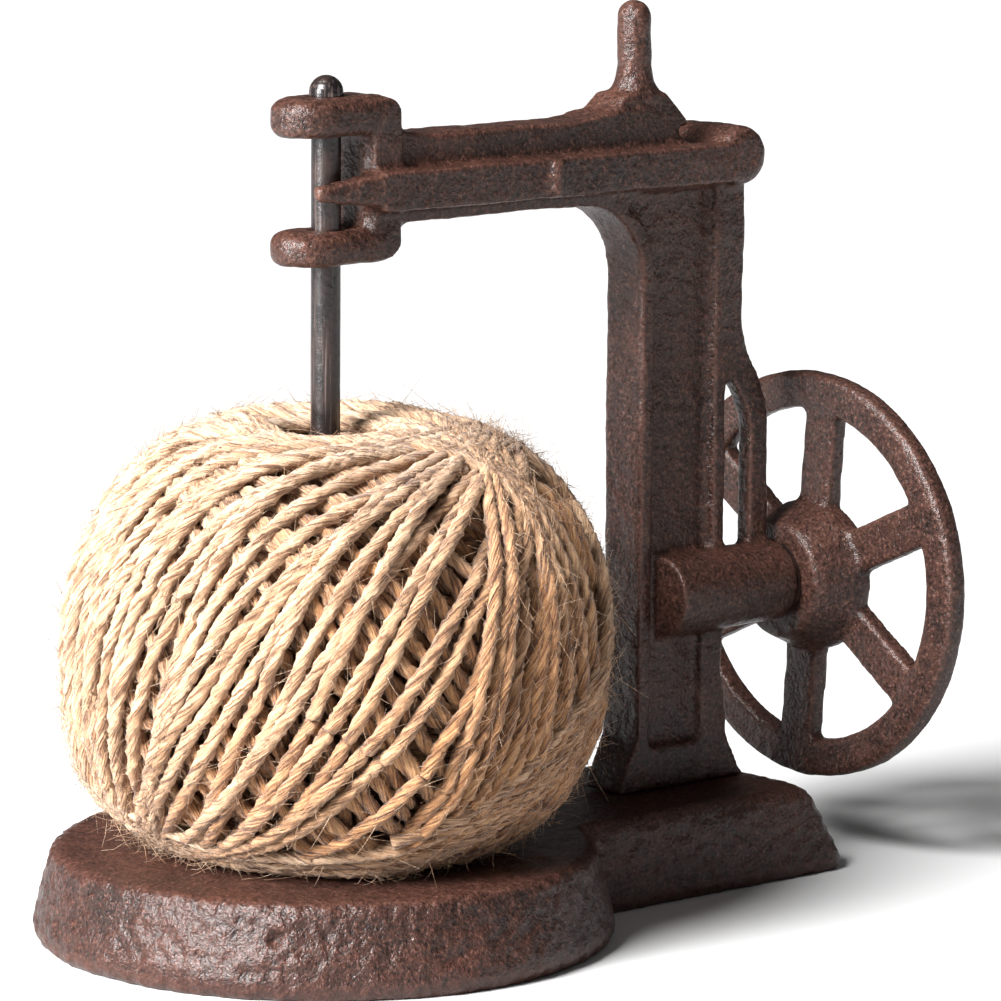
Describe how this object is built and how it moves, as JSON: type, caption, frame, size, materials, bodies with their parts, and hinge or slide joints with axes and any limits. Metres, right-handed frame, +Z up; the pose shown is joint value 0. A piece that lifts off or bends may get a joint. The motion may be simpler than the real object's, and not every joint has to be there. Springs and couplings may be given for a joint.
{
  "type": "twine ball holder",
  "caption": "Sewing-machine-shaped cast-iron holder with a ball of jute twine on a lift-out needle bar, a spool pin and a free-turning spoked handwheel.",
  "frame": {"origin": "centre of the bounding box in plan, at the floor that the base stands on", "axes": "+X along the arm from the needle bar towards the handwheel, +Y away from the face of the column that carries the axle sleeve, +Z up along the spool pin"},
  "size_m": [0.1718, 0.102, 0.1608],
  "materials": {
    "rusted_iron": "rough sand-cast surface with a brown antique rust finish, half gloss on its high spots",
    "dark_steel": "blackened steel, half gloss",
    "zinc_steel": "plain zinc-plated machine screws",
    "jute_twine": "hairy two-ply natural jute, matt"
  },
  "bodies": {
    "stand": {"base_casting": "rusted_iron", "frame_casting": "rusted_iron", "frame_screws": "zinc_steel", "frame_screw_washers": "zinc_steel", "wheel_axle": "dark_steel", "wheel_washer": "dark_steel", "thrust_washer": "dark_steel"},
    "needle": {"needle_bar": "dark_steel"},
    "ball": {"twine_ball": "jute_twine"},
    "wheel": {"handwheel": "rusted_iron"}
  },
  "joints": [
    {"name": "wheel_spin", "type": "hinge", "parent": "stand", "child": "wheel", "pos_m": [0.0791, -0.0045, 0.0523], "axis": [1, 0, 0], "continuous": true},
    {"name": "needle_lift", "type": "slide", "parent": "stand", "child": "needle", "axis": [0, 0, 1], "range_m": [0, 0.1]},
    {"name": "ball_spin", "type": "hinge", "parent": "stand", "child": "ball", "pos_m": [-0.0349, 0, 0.05], "axis": [0, 0, 1], "continuous": true}
  ]
}
